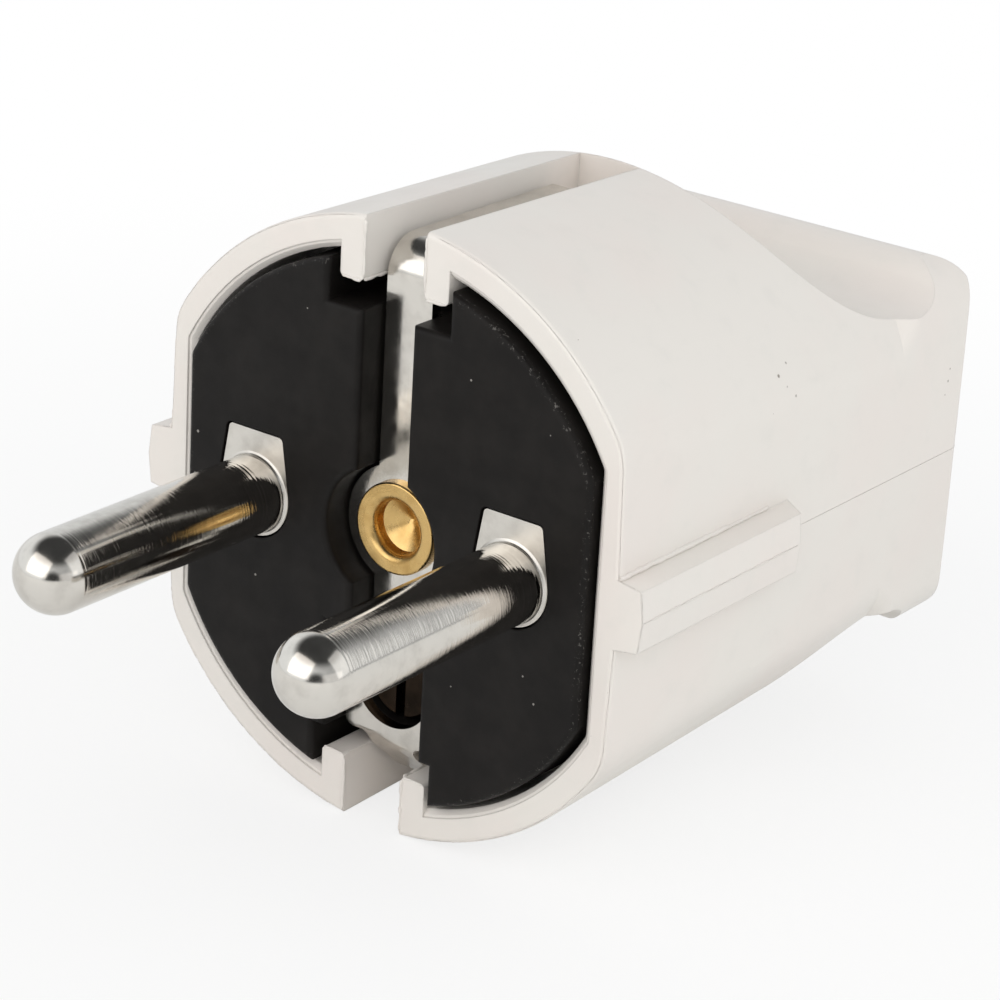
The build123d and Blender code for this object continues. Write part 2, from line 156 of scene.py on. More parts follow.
def ramp(tree, value, low, high):
    """0 below low, 1 above high and smooth between them. Low may be above high, which turns it round."""
    feeds = {"Value": value, "From Min": low, "From Max": high}
    return add(tree, "ShaderNodeMapRange", feeds, interpolation_type="SMOOTHSTEP").outputs["Result"]


def tint(tree, factor, first, second, way="MIX"):
    """Mixes two colours. Returns the colour socket."""
    feeds = {0: factor, 6: first, 7: second}
    return add(tree, "ShaderNodeMix", feeds, data_type="RGBA", blend_type=way).outputs[2]


print("helpers ready: add, calc, ramp, tint")

# %% [markdown]
# ## Studio
#
# A product picture is lit by large soft boxes, and polished metal shows them as bright windows. One warm
# box stands in front of the pins, to the camera's left, and a smaller one at its right. Two cards fill the
# shade, and a big pale floor throws light back up. In mirrors the world is a white tent with a dark roof and
# a dark gap where the camera looks in, which gives the polished tips their caps and their pairs of windows.
# The card beside the camera would stand in that gap, so mirrors don't show it. A Light Path node lets the
# camera itself see a white world, and the floor glows less near the plug, where it keeps the plug's shadow.

# %% Floor
plug_middle = (cad_box[0] + cad_box[1]) / 2
white = (1, 1, 1, 1)
floor_colour = (0.9, 0.9, 0.89, 1)
floor_half_size = 3.0
glow_near, glow_far = 0.75, 1.0
mirror_share = 0.2
shade_from, shade_to = 45 * MM, 130 * MM

floor_mesh = bpy.data.meshes.new("floor")
shape = bmesh.new()
bmesh.ops.create_grid(shape, x_segments=1, y_segments=1, size=floor_half_size)
bmesh.ops.translate(shape, verts=shape.verts, vec=(0, 0, cad_box[0].z))
shape.to_mesh(floor_mesh)
shape.free()
floor = bpy.data.objects.new("floor", floor_mesh)
bpy.context.scene.collection.objects.link(floor)

floor_finish = bpy.data.materials.new("studio_floor")
floor_finish.use_nodes = True
tree = floor_finish.node_tree
tree.nodes.clear()
rays = add(tree, "ShaderNodeLightPath")
mirror_ray = calc(tree, "ADD", rays.outputs["Is Glossy Ray"], rays.outputs["Is Transmission Ray"])
mirror_ray = calc(tree, "MULTIPLY", mirror_ray, mirror_share)
seen = calc(tree, "ADD", rays.outputs["Is Camera Ray"], mirror_ray, clamp=True)
matt = add(tree, "ShaderNodeBsdfDiffuse", {"Color": floor_colour})
glow = add(tree, "ShaderNodeEmission", {"Color": white, "Strength": 1.0})
spot = add(tree, "ShaderNodeTexCoord").outputs["Object"]
away = add(tree, "ShaderNodeVectorMath", {0: spot, 1: plug_middle}, operation="DISTANCE").outputs["Value"]
glow_share = add(
    tree,
    "ShaderNodeMapRange",
    {"Value": away, "From Min": shade_from, "From Max": shade_to, "To Min": glow_near, "To Max": glow_far},
    interpolation_type="SMOOTHSTEP",
).outputs["Result"]
share = calc(tree, "MULTIPLY", seen, glow_share)
both = add(tree, "ShaderNodeMixShader", {0: share, 1: matt.outputs[0], 2: glow.outputs[0]})
add(tree, "ShaderNodeOutputMaterial", {"Surface": both.outputs[0]})
floor_mesh.materials.append(floor_finish)
print("floor at z =", round(cad_box[0].z / MM, 2), "mm")

# %% World
behind = Vector((-math.sin(camera_turn), math.cos(camera_turn), 0))
studio_dark = 0.05
gap_edge, gap_end = -0.97, -0.86
roof_edge, roof_end = 0.8, 0.5
tent_left, tent_right = 1.0, 0.55
sky_cool = (0.955, 0.98, 1.0, 1)
level_light, top_light = 0.68, 0.76

world = bpy.data.worlds.new("studio")
world.use_nodes = True
bpy.context.scene.world = world
tree = world.node_tree
tree.nodes.clear()
rays = add(tree, "ShaderNodeLightPath")
way = add(tree, "ShaderNodeTexCoord").outputs["Generated"]
facing = add(tree, "ShaderNodeVectorMath", {0: way, 1: behind}, operation="DOT_PRODUCT").outputs["Value"]
tent = ramp(tree, facing, gap_edge, gap_end)
height = add(tree, "ShaderNodeSeparateXYZ", {0: way}).outputs["Z"]
tent = calc(tree, "MULTIPLY", tent, ramp(tree, height, roof_edge, roof_end))
sideways = add(
    tree, "ShaderNodeVectorMath", {0: way, 1: level_right}, operation="DOT_PRODUCT"
).outputs["Value"]
tent_light = add(
    tree,
    "ShaderNodeMapRange",
    {"Value": sideways, "From Min": -0.5, "From Max": 0.5, "To Min": tent_left, "To Max": tent_right},
).outputs["Result"]
mirrored = add(
    tree, "ShaderNodeMapRange", {"Value": tent, "To Min": studio_dark, "To Max": tent_light}
).outputs["Result"]
mirror_ray = calc(
    tree, "ADD", rays.outputs["Is Glossy Ray"], rays.outputs["Is Transmission Ray"], clamp=True
)
scattered = add(
    tree,
    "ShaderNodeMapRange",
    {"Value": height, "From Min": 0.2, "From Max": 0.95, "To Min": level_light, "To Max": top_light},
).outputs["Result"]
strength = add(
    tree, "ShaderNodeMix", {0: mirror_ray, 2: scattered, 3: mirrored}, data_type="FLOAT"
).outputs[0]
strength = add(
    tree, "ShaderNodeMix", {0: rays.outputs["Is Camera Ray"], 2: strength, 3: 1.0}, data_type="FLOAT"
).outputs[0]
sky_colour = tint(tree, rays.outputs["Is Camera Ray"], sky_cool, white)
sky = add(tree, "ShaderNodeBackground", {"Color": sky_colour, "Strength": strength})
add(tree, "ShaderNodeOutputWorld", {"Surface": sky.outputs[0]})
print("world: a white tent with a dark roof and a gap for the camera")

# %% Soft boxes
warm = (1.0, 0.955, 0.92)
pale_warm = (1.0, 0.97, 0.95)
softbox_distance = 0.5


def softbox(name, turn, rise, width, height, power, colour=(1, 1, 1)):
    """A rectangular area light that faces the plug, turned and raised as the camera is."""
    turn, rise = math.radians(turn), math.radians(rise)
    toward = Vector(
        (math.sin(turn) * math.cos(rise), -math.cos(turn) * math.cos(rise), math.sin(rise))
    )
    lamp = bpy.data.lights.new(name, "AREA")
    lamp.shape = "RECTANGLE"
    lamp.size, lamp.size_y = width, height
    lamp.energy = power
    lamp.color = colour
    box = bpy.data.objects.new(name, lamp)
    box.location = plug_middle + softbox_distance * toward
    box.rotation_mode = "QUATERNION"
    box.rotation_quaternion = toward.to_track_quat("Z", "Y")
    bpy.context.scene.collection.objects.link(box)
    return box


fill_card = softbox("fill_card", 44, 30, 0.30, 0.30, 0.4, warm)
fill_card.visible_glossy = False
lamps = [
    fill_card,
    softbox("front_softbox", -12, 30, 0.60, 0.44, 0.8, warm),
    softbox("side_softbox", 112, 30, 0.42, 0.50, 0.36),
    softbox("low_card", 78, 9, 0.50, 0.16, 0.08, pale_warm),
]
bpy.context.scene.view_settings.view_transform = "Standard"
print("soft boxes:", [lamp.name for lamp in lamps])

# %% [markdown]
# ## Finishes
#
# Every finish reads Object coordinates, scaled to millimetres, so that a scratch or a lathe mark has its
# real size. A finish starts with a Principled shader; noise then varies its colour and roughness a little,
# and a Bump node adds the relief that is too fine to model.

# %% Start of a finish
def new_finish(name, **surface):
    """A material with a Principled shader. Returns the material, its tree, the shader and mm coordinates."""
    finish = bpy.data.materials.new(name)
    finish.use_nodes = True
    tree = finish.node_tree
    shader = tree.nodes["Principled BSDF"]
    for key, value in surface.items():
        shader.inputs[key.replace("_", " ")].default_value = value
    place = add(tree, "ShaderNodeTexCoord").outputs["Object"]
    place = add(tree, "ShaderNodeVectorMath", {0: place, "Scale": 1 / MM}, operation="SCALE").outputs[0]
    return finish, tree, shader, place


def noise(tree, place, scale, detail=2.0, roughness=0.5, stretch=None):
    """Noise with so many features in a millimetre, stretched along the axes if asked."""
    if stretch:
        place = add(tree, "ShaderNodeVectorMath", {0: place, 1: stretch}, operation="MULTIPLY").outputs[0]
    feeds = {"Vector": place, "Scale": scale, "Detail": detail, "Roughness": roughness}
    return add(tree, "ShaderNodeTexNoise", feeds).outputs["Fac"]


def specks(tree, place, per_mm, radius, share):
    """Sparse round specks: 1 in a speck and 0 elsewhere. Share is the part of the cells that have one."""
    cell = add(tree, "ShaderNodeTexVoronoi", {"Vector": place, "Scale": per_mm, "Randomness": 1.0})
    chosen = add(tree, "ShaderNodeSeparateColor", {0: cell.outputs["Color"]})
    size = calc(tree, "MULTIPLY", chosen.outputs["Green"], radius * per_mm)
    spot = calc(tree, "LESS_THAN", cell.outputs["Distance"], size)
    return calc(tree, "MULTIPLY", spot, calc(tree, "LESS_THAN", chosen.outputs["Red"], share))


def relief(tree, shader, height, depth, normal=None):
    """A bump of that depth in millimetres under the shader."""
    feeds = {"Height": height, "Strength": 1.0, "Distance": depth * MM}
    if normal:
        feeds["Normal"] = normal
    bump = add(tree, "ShaderNodeBump", feeds)
    tree.links.new(bump.outputs["Normal"], shader.inputs["Normal"])
    return bump.outputs["Normal"]


print("finish helpers ready")

# %% [markdown]
# ### Shell plastic
#
# The hood is a warm white moulding with a satin skin. Real ones are never one colour: the white drifts a
# little, dark specks of burnt resin sit in it, and handling leaves a few dark marks. The corners are painted
# greyer as painted shade, from an ambient occlusion node. A Bevel node softens the light on sharp edges,
# which the mould rounds by about a tenth of a millimetre.

# %% Shell plastic
cream = (0.785, 0.75, 0.702, 1)
cream_rosy = (0.79, 0.738, 0.692, 1)
cream_grey = (0.72, 0.695, 0.65, 1)
burnt = (0.16, 0.12, 0.095, 1)
edge_round = 0.14
handling_marks = [
    ((15.79, 16.66, 9.75), 0.13),
    ((15.48, 17.81, 10.17), 0.08),
    ((16.4, 17.84, 8.37), 0.11),
    ((16.16, 17.15, 9.1), 0.09),
    ((16.53, 35.57, 4.79), 0.09),
    ((16.56, 35.32, 3.93), 0.07),
    ((16.5, 35.71, 5.54), 0.07),
]

shell_plastic, tree, shader, place = new_finish("shell_moulding", IOR=1.47)
colour = tint(tree, ramp(tree, noise(tree, place, 0.11, 3.0), 0.38, 0.66), cream, cream_rosy)
mottle = calc(tree, "MULTIPLY", ramp(tree, noise(tree, place, 0.5, 4.0, 0.6), 0.5, 0.8), 0.35)
colour = tint(tree, mottle, colour, cream_grey)
# Painted shade: an ambient occlusion node turns the corners greyer and darker, as if shade fell there.
corner = add(tree, "ShaderNodeAmbientOcclusion", {"Distance": 1.2 * MM}, samples=8)
dust_and_corner_shade = calc(tree, "MULTIPLY", ramp(tree, corner.outputs["AO"], 0.75, 0.25), 0.4)
colour = tint(tree, dust_and_corner_shade, colour, cream_grey)
large_specks = specks(tree, place, 0.42, 0.07, 0.3)
small_specks = specks(tree, place, 1.1, 0.035, 0.12)
spots = calc(tree, "ADD", large_specks, small_specks, clamp=True)
colour = tint(tree, calc(tree, "MULTIPLY", spots, 0.75), colour, burnt)
for middle, radius in handling_marks:
    away = add(tree, "ShaderNodeVectorMath", {0: place, 1: middle}, operation="DISTANCE").outputs["Value"]
    away = calc(tree, "ADD", away, calc(tree, "MULTIPLY", noise(tree, place, 6.0), 0.15))
    spot = calc(tree, "MULTIPLY", ramp(tree, away, radius + 0.1, radius), 0.8)
    colour = tint(tree, spot, colour, burnt)
tree.links.new(colour, shader.inputs["Base Color"])
satin = add(
    tree,
    "ShaderNodeMapRange",
    {"Value": noise(tree, place, 0.35, 4.0), "From Min": 0.3, "From Max": 0.7, "To Min": 0.3, "To Max": 0.42},
)
tree.links.new(satin.outputs[0], shader.inputs["Roughness"])
soft_edge = add(tree, "ShaderNodeBevel", {"Radius": edge_round * MM}, samples=6).outputs[0]
wavy = relief(tree, shader, noise(tree, place, 0.16, 2.0), 0.05, soft_edge)
relief(tree, shader, noise(tree, place, 5.0, 3.0, 0.6), 0.0025, wavy)
print("finish", shell_plastic.name)

# %% [markdown]
# ### Insert plastic
#
# The contact carrier is a black moulding, nearly matt. What shows on black is dust, and pale flecks where an
# edge has been rubbed, so both are drawn over it. The rubbed edges are found from the outline itself: a
# round of 16.5 mm with flat sides.

# %% Insert plastic
black = (0.0065, 0.0055, 0.005, 1)
black_dry = (0.011, 0.0095, 0.0085, 1)
chalk = (0.30, 0.285, 0.265, 1)
insert_radius = 16.5
insert_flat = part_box("insert")[1].x / MM

insert_plastic, tree, shader, place = new_finish("insert_moulding", IOR=1.26)
colour = tint(tree, ramp(tree, noise(tree, place, 0.35, 4.0, 0.6), 0.35, 0.7), black, black_dry)
apart = add(tree, "ShaderNodeSeparateXYZ", {0: place})
flat_place = add(
    tree, "ShaderNodeCombineXYZ", {0: apart.outputs["X"], 2: apart.outputs["Z"]}
).outputs[0]
reach = add(tree, "ShaderNodeVectorMath", {0: flat_place}, operation="LENGTH").outputs["Value"]
round_edge = ramp(tree, reach, insert_radius - 0.55, insert_radius - 0.2)
flat_edge = ramp(tree, calc(tree, "ABSOLUTE", apart.outputs["X"]), insert_flat - 0.55, insert_flat - 0.2)
rubbed = calc(tree, "MAXIMUM", round_edge, flat_edge)
rubbed = calc(tree, "MULTIPLY", rubbed, ramp(tree, apart.outputs["Y"], 0.55, 0.25))
flecks = ramp(tree, noise(tree, place, 4.5, 3.0, 0.7), 0.58, 0.72)
colour = tint(tree, calc(tree, "MULTIPLY", calc(tree, "MULTIPLY", rubbed, flecks), 0.4), colour, chalk)
fine_dust = specks(tree, place, 1.2, 0.08, 0.11)
coarse_dust = specks(tree, place, 0.35, 0.1, 0.3)
dust_and_corner_shade = calc(tree, "ADD", fine_dust, coarse_dust, clamp=True)
colour = tint(tree, calc(tree, "MULTIPLY", dust_and_corner_shade, 0.85), colour, chalk)
tree.links.new(colour, shader.inputs["Base Color"])
matt = add(
    tree,
    "ShaderNodeMapRange",
    {"Value": noise(tree, place, 0.8, 4.0), "From Min": 0.3, "From Max": 0.7, "To Min": 0.42, "To Max": 0.56},
)
tree.links.new(matt.outputs[0], shader.inputs["Roughness"])
soft_edge = add(tree, "ShaderNodeBevel", {"Radius": edge_round * MM}, samples=6).outputs[0]
relief(tree, shader, noise(tree, place, 6.0, 4.0, 0.65), 0.004, soft_edge)
print("finish", insert_plastic.name)

# %% [markdown]
# ### Nickel, brass and steel
#
# The pins are turned from brass and nickel plated, so fine rings run round them. Their highlights fray along
# the pin where the rings tilt the light. Stretched noise does this: it changes fast along the pin and slowly
# round it. The strap is rolled strip, so its marks run lengthways, and the brass post has rings about its
# own centre. The screws inside are zinc plated. The one that shows, deep in its hole, is painted near black
# as painted shade, for the shadow and dark reflections there.

# %% Marks on the metals
tip_start = -16.6


def way_along(tree, place):
    """The Y coordinate, which runs along the pins."""
    return add(tree, "ShaderNodeSeparateXYZ", {0: place}).outputs["Y"]


def lathe_rings(tree, place):
    """Rings round a pin's shaft, none on its polished tip."""
    rings = noise(tree, place, 7.0, 3.0, 0.65, (0.05, 1.0, 0.05))
    return calc(tree, "MULTIPLY", rings, ramp(tree, way_along(tree, place), tip_start - 0.1, tip_start + 0.3))


def rolling_marks(tree, place):
    """Fine lines along the strap."""
    return noise(tree, place, 6.0, 3.0, 0.65, (1.0, 0.06, 0.06))


def post_rings(tree, place):
    """Rings about the post's axis, which is the Y axis."""
    apart = add(tree, "ShaderNodeSeparateXYZ", {0: place})
    flat = add(tree, "ShaderNodeCombineXYZ", {0: apart.outputs["X"], 2: apart.outputs["Z"]})
    reach = add(tree, "ShaderNodeVectorMath", {0: flat.outputs[0]}, operation="LENGTH").outputs["Value"]
    line = add(tree, "ShaderNodeCombineXYZ", {0: reach, 1: apart.outputs["Y"]}).outputs[0]
    return noise(tree, line, 7.0, 3.0, 0.6)


def screw_marks(tree, place):
    """Turning marks of a screw, closer along the plug than across it."""
    return noise(tree, place, 5.0, 3.0, 0.65, (0.3, 1.0, 0.3))


def pin_satin(tree, place):
    """Roughness added to a pin: much on the milled end of its bar, some on the tip, none on the shaft."""
    along = way_along(tree, place)
    bar = calc(tree, "MULTIPLY", ramp(tree, along, -0.15, 0.08), 0.24)
    tip = calc(tree, "MULTIPLY", ramp(tree, along, tip_start + 0.2, tip_start - 0.2), 0.06)
    return calc(tree, "ADD", bar, tip)


print("marks: lathe rings, rolling marks, post rings, screw marks")

# %% Metals
nickel = (0.72, 0.69, 0.64, 1)
nickel_dull = (0.6, 0.57, 0.525, 1)
yellow_brass = (0.68, 0.46, 0.185, 1)
brown_brass = (0.54, 0.34, 0.12, 1)
zinc_grey = (0.55, 0.54, 0.52, 1)
zinc_dull = (0.45, 0.44, 0.42, 1)
# Painted shade: the next two tones are near black for the shadow deep in the fixing screw's hole.
painted_shade_brown = (0.028, 0.019, 0.013, 1)
painted_shade_black = (0.014, 0.01, 0.007, 1)


def metal(name, colour, dull, shine, marks, mark_depth, scratch_depth, satin=None):
    """A plated or turned metal: two tones, varied shine, its own marks and a fine unevenness."""
    finish, tree, shader, place = new_finish(name, Metallic=1.0)
    patch = ramp(tree, noise(tree, place, 0.6, 4.0, 0.6), 0.4, 0.75)
    tree.links.new(tint(tree, patch, colour, dull), shader.inputs["Base Color"])
    low, high = shine
    rough = {"Value": noise(tree, place, 1.3, 4.0), "From Min": 0.3, "From Max": 0.7}
    rough = add(tree, "ShaderNodeMapRange", {**rough, "To Min": low, "To Max": high}).outputs[0]
    if satin:
        rough = calc(tree, "ADD", rough, satin(tree, place))
    tree.links.new(rough, shader.inputs["Roughness"])
    marked = relief(tree, shader, marks(tree, place), mark_depth)
    relief(tree, shader, noise(tree, place, 2.2, 5.0, 0.75), scratch_depth, marked)
    return finish


pin_nickel = metal("pin_nickel", nickel, nickel_dull, (0.06, 0.12), lathe_rings, 0.008, 0.0004, pin_satin)
strap_nickel = metal("strap_nickel", nickel, nickel_dull, (0.09, 0.2), rolling_marks, 0.0015, 0.0015)
brass = metal("turned_brass", yellow_brass, brown_brass, (0.2, 0.34), post_rings, 0.009, 0.001)
zinc = metal("zinc_plate", zinc_grey, zinc_dull, (0.25, 0.42), screw_marks, 0.003, 0.003)
# Painted shade: the fixing screw's finish stands for the shade in its hole, not for the screw's own colour.
steel_in_painted_shade = metal("oiled_steel", painted_shade_brown, painted_shade_black, (0.25, 0.42), screw_marks, 0.003, 0.003)
print("finishes", [finish.name for finish in (pin_nickel, strap_nickel, brass, zinc, steel_in_painted_shade)])

# %% [markdown]
# ### Finishes on the CAD pieces
#
# A piece whose CAD shape is right keeps it, and only its material slot changes.

# %% Dress the CAD pieces
dress = {
    "shell": shell_plastic,
    "insert": insert_plastic,
    "cord_clamp": insert_plastic,
    "left_pin": pin_nickel,
    "right_pin": pin_nickel,
    "earth_strap": strap_nickel,
    "earth_post": brass,
    "threaded_bush": brass,
    "fixing_screw": steel_in_painted_shade,
    "left_terminal_screw": zinc,
    "right_terminal_screw": zinc,
    "earth_terminal_screw": zinc,
    "left_clamp_screw": zinc,
    "right_clamp_screw": zinc,
}
for node_name, finish in dress.items():
    piece = frame["nodes"][node_name]
    piece.data.materials.clear()
    piece.data.materials.append(finish)
print("dressed", len(dress), "CAD pieces")

# %% [markdown]
# ## Geometry node helpers
#
# A node tree is a small machine for one kind of shape: sizes go in as named inputs and a finished mesh comes
# out. It sits on a carrier, a mesh that holds the line to follow, or nothing where the tree makes its own
# line. The inputs are set by their identifiers before the carrier is first evaluated, and the result is then
# turned into a plain mesh, so that nothing is left to evaluate afterwards.

# %% Geometry node helpers
def new_tree(name, sizes):
    """A geometry tree with a mesh going in and out, and a named input for each size."""
    tree = bpy.data.node_groups.new(name, "GeometryNodeTree")
    tree.interface.new_socket("Geometry", in_out="INPUT", socket_type="NodeSocketGeometry")
    tree.interface.new_socket("Geometry", in_out="OUTPUT", socket_type="NodeSocketGeometry")
    for size, kind in sizes.items():
        tree.interface.new_socket(size, in_out="INPUT", socket_type=f"NodeSocket{kind}")
    return tree, add(tree, "NodeGroupInput").outputs


def end_tree(tree, mesh, finish):
    """Smooth faces, real geometry and a material, as every tree here ends."""
    mesh = add(tree, "GeometryNodeSetShadeSmooth", {0: mesh}).outputs[0]
    mesh = add(tree, "GeometryNodeRealizeInstances", {0: mesh}).outputs[0]
    mesh = add(tree, "GeometryNodeSetMaterial", {"Geometry": mesh, "Material": finish}).outputs[0]
    add(tree, "NodeGroupOutput", {0: mesh})


def line_mesh(name, *lines):
    """A carrier: a mesh of edges only, along one or more lines of points."""
    points, edges = [], []
    for line in lines:
        edges += [(len(points) + i, len(points) + i + 1) for i in range(len(line) - 1)]
        points += line
    mesh = bpy.data.meshes.new(name)
    mesh.from_pydata(points, edges, [])
    return mesh


def grow(name, carrier_mesh, tree, sizes):
    """Runs a tree on a carrier and returns the result as a plain mesh with its faces outward."""
    carrier = bpy.data.objects.new(name, carrier_mesh)
    bpy.context.scene.collection.objects.link(carrier)
    modifier = carrier.modifiers.new(name, "NODES")
    modifier.node_group = tree
    for item in tree.interface.items_tree:
        if item.name in sizes:
            modifier[item.identifier] = sizes[item.name]
    grown = carrier.evaluated_get(bpy.context.evaluated_depsgraph_get())
    mesh = bpy.data.meshes.new_from_object(grown)
    bpy.data.objects.remove(carrier)
    bpy.data.meshes.remove(carrier_mesh)
    shape = bmesh.new()
    shape.from_mesh(mesh)
    bmesh.ops.recalc_face_normals(shape, faces=shape.faces)
    shape.to_mesh(mesh)
    shape.free()
    mesh.name = name
    return mesh


def place_piece(mesh, slot, *nodes):
    """Makes a piece of a mesh, lets it ride on the plug, and hides the CAD nodes it stands for. Its slot is
    not used.
    """
    piece = bpy.data.objects.new(mesh.name, mesh)
    bpy.context.scene.collection.objects.link(piece)
    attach(piece, "root")
    if nodes:
        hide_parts(*nodes)
    print(piece.name, len(mesh.polygons), "faces")
    return piece


print("geometry helpers ready")

# %% [markdown]
# ## Turned pins
#
# A contact pin is turned on a lathe: the tool leaves fine rings along the shaft, deeper ones near the root,
# and the rounded tip is polished afterwards, up to a fine seam. A screw modifier could spin a drawn profile.
# Here a tree works the profile out instead: points along the axis get a radius from a rule, and Curve to
# Mesh sweeps a circle of that radius. The rings come from noise that depends on the way along the pin alone.

# %% Tree of a turned pin
ROD_SIZES = {
    "Rings": "Int",
    "Segments": "Int",
    "Shaft": "Float",
    "Radius": "Float",
    "Neck": "Float",
    "Groove pitch": "Float",
    "Groove depth": "Float",
    "Root groove depth": "Float",
    "Root grooves end": "Float",
    "Seam depth": "Float",
    "Seam width": "Float",
    "Seed": "Float",
}
rod_tree, size = new_tree("turned_rod", ROD_SIZES)
index = add(rod_tree, "GeometryNodeInputIndex").outputs[0]
quarter = calc(rod_tree, "MULTIPLY", size["Radius"], math.pi / 2)
walked = calc(rod_tree, "DIVIDE", index, size["Rings"])
walked = calc(rod_tree, "MULTIPLY", walked, calc(rod_tree, "ADD", size["Shaft"], quarter))
past = calc(rod_tree, "MAXIMUM", calc(rod_tree, "SUBTRACT", walked, size["Shaft"]), 0.0)
angle = calc(rod_tree, "DIVIDE", past, size["Radius"])
along = calc(rod_tree, "MULTIPLY", calc(rod_tree, "SINE", angle), size["Radius"])
along = calc(rod_tree, "ADD", calc(rod_tree, "MINIMUM", walked, size["Shaft"]), along)
reach = calc(rod_tree, "MULTIPLY", calc(rod_tree, "COSINE", angle), size["Radius"])
# Fillet at the root
short = calc(rod_tree, "MAXIMUM", calc(rod_tree, "SUBTRACT", size["Neck"], walked), 0.0)
neck_square = calc(rod_tree, "POWER", size["Neck"], 2.0)
drop = calc(rod_tree, "SUBTRACT", neck_square, calc(rod_tree, "POWER", short, 2.0))
inner = calc(rod_tree, "SQRT", calc(rod_tree, "MAXIMUM", drop, 0.0))
reach = calc(rod_tree, "ADD", reach, calc(rod_tree, "SUBTRACT", size["Neck"], inner))
# Rings of the tool, none on the polished tip
beat = calc(rod_tree, "ADD", calc(rod_tree, "DIVIDE", walked, size["Groove pitch"]), size["Seed"])
rings = add(
    rod_tree, "ShaderNodeTexNoise", {"W": beat, "Scale": 1.0, "Detail": 2.0}, noise_dimensions="1D"
).outputs["Fac"]
depth = add(
    rod_tree,
    "ShaderNodeMapRange",
    {
        "Value": walked,
        "From Min": 0.0,
        "From Max": size["Root grooves end"],
        "To Min": size["Root groove depth"],
        "To Max": size["Groove depth"],
    },
).outputs["Result"]
on_shaft = calc(rod_tree, "LESS_THAN", walked, size["Shaft"])
groove = calc(rod_tree, "MULTIPLY", calc(rod_tree, "MULTIPLY", rings, depth), on_shaft)
from_seam = calc(rod_tree, "DIVIDE", calc(rod_tree, "SUBTRACT", walked, size["Shaft"]), size["Seam width"])
seam = calc(rod_tree, "EXPONENT", calc(rod_tree, "MULTIPLY", calc(rod_tree, "POWER", from_seam, 2.0), -1.0))
groove = calc(rod_tree, "ADD", groove, calc(rod_tree, "MULTIPLY", seam, size["Seam depth"]))
reach = calc(rod_tree, "MAXIMUM", calc(rod_tree, "SUBTRACT", reach, groove), 0.0)

count = calc(rod_tree, "ADD", size["Rings"], 1.0)
axis_line = add(rod_tree, "GeometryNodeMeshLine", {"Count": count}).outputs[0]
spot = add(rod_tree, "ShaderNodeCombineXYZ", {1: calc(rod_tree, "MULTIPLY", along, -1.0)}).outputs[0]
axis_line = add(rod_tree, "GeometryNodeSetPosition", {0: axis_line, "Position": spot}).outputs[0]
axis_line = add(rod_tree, "GeometryNodeMeshToCurve", {0: axis_line}).outputs[0]
ring = add(rod_tree, "GeometryNodeCurvePrimitiveCircle", {"Resolution": size["Segments"], "Radius": 1.0})
rod = add(
    rod_tree,
    "GeometryNodeCurveToMesh",
    {"Curve": axis_line, "Profile Curve": ring.outputs[0], "Scale": reach, "Fill Caps": True},
).outputs[0]
rod = add(rod_tree, "GeometryNodeMergeByDistance", {0: rod, "Distance": 0.002 * MM}).outputs[0]
end_tree(rod_tree, rod, pin_nickel)
print("tree", rod_tree.name, "with", len(rod_tree.nodes), "nodes")

# %% Turn both pins
pin_radius = 2.4 * MM
pin_neck = 0.2 * MM
bar_front = 0.1 * MM
merge_within = 0.001 * MM
a_hair = 0.0005 * MM
smooth_below = math.radians(28)


def turned_pin(node_name, seed):
    """The CAD pin's bar and terminal block, with its shaft turned anew."""
    low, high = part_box(node_name)
    middle_x = (low.x + high.x) / 2
    rod_mesh = grow(
        node_name + "_turned",
        bpy.data.meshes.new(node_name),
        rod_tree,
        {
            "Rings": 440,
            "Segments": 56,
            "Shaft": bar_front - low.y - pin_radius,
            "Radius": pin_radius,
            "Neck": pin_neck,
            "Groove pitch": 0.16 * MM,
            "Groove depth": 0.004 * MM,
            "Root groove depth": 0.022 * MM,
            "Root grooves end": 5.0 * MM,
            "Seam depth": 0.006 * MM,
            "Seam width": 0.08 * MM,
            "Seed": seed,
        },
    )
    rod_mesh.transform(Matrix.Translation((middle_x, bar_front, 0)))
    shape = bmesh.new()
    shape.from_mesh(frame["nodes"][node_name].data)
    bmesh.ops.remove_doubles(shape, verts=shape.verts, dist=merge_within)
    shaft = [face for face in shape.faces if min(v.co.y for v in face.verts) < bar_front - a_hair]
    bmesh.ops.delete(shape, geom=shaft, context="FACES")
    rim = [edge for edge in shape.edges if edge.is_boundary]
    bmesh.ops.triangle_fill(shape, use_beauty=True, edges=rim)
    bmesh.ops.recalc_face_normals(shape, faces=shape.faces)
    for face in shape.faces:
        face.smooth = True
    shape.from_mesh(rod_mesh)
    shape.to_mesh(rod_mesh)
    shape.free()
    if "custom_normal" in rod_mesh.attributes:
        rod_mesh.attributes.remove(rod_mesh.attributes["custom_normal"])
    rod_mesh.set_sharp_from_angle(angle=smooth_below)
    return place_piece(rod_mesh, "pin_nickel", node_name)


pins = [turned_pin("left_pin", 3.1), turned_pin("right_pin", 41.7)]

# %% [markdown]
# ## Flash of the mould
#
# Where the halves of a mould meet, a little plastic is pressed into the gap and stays on the part as a thin
# ragged bead. On this hood it marks the parting line along both sides, the edge of the rim, the roots of the
# ribs and the ends of the tabs. The lines on curved faces are laid on the CAD surface with rays, and those on
# the tabs come from the tabs' own sizes. One tree turns all of them into beads: it samples a line at even
# steps, lets it wander a little, and sweeps a small circle along it whose size comes from noise, so that the
# bead swells, thins and breaks off.

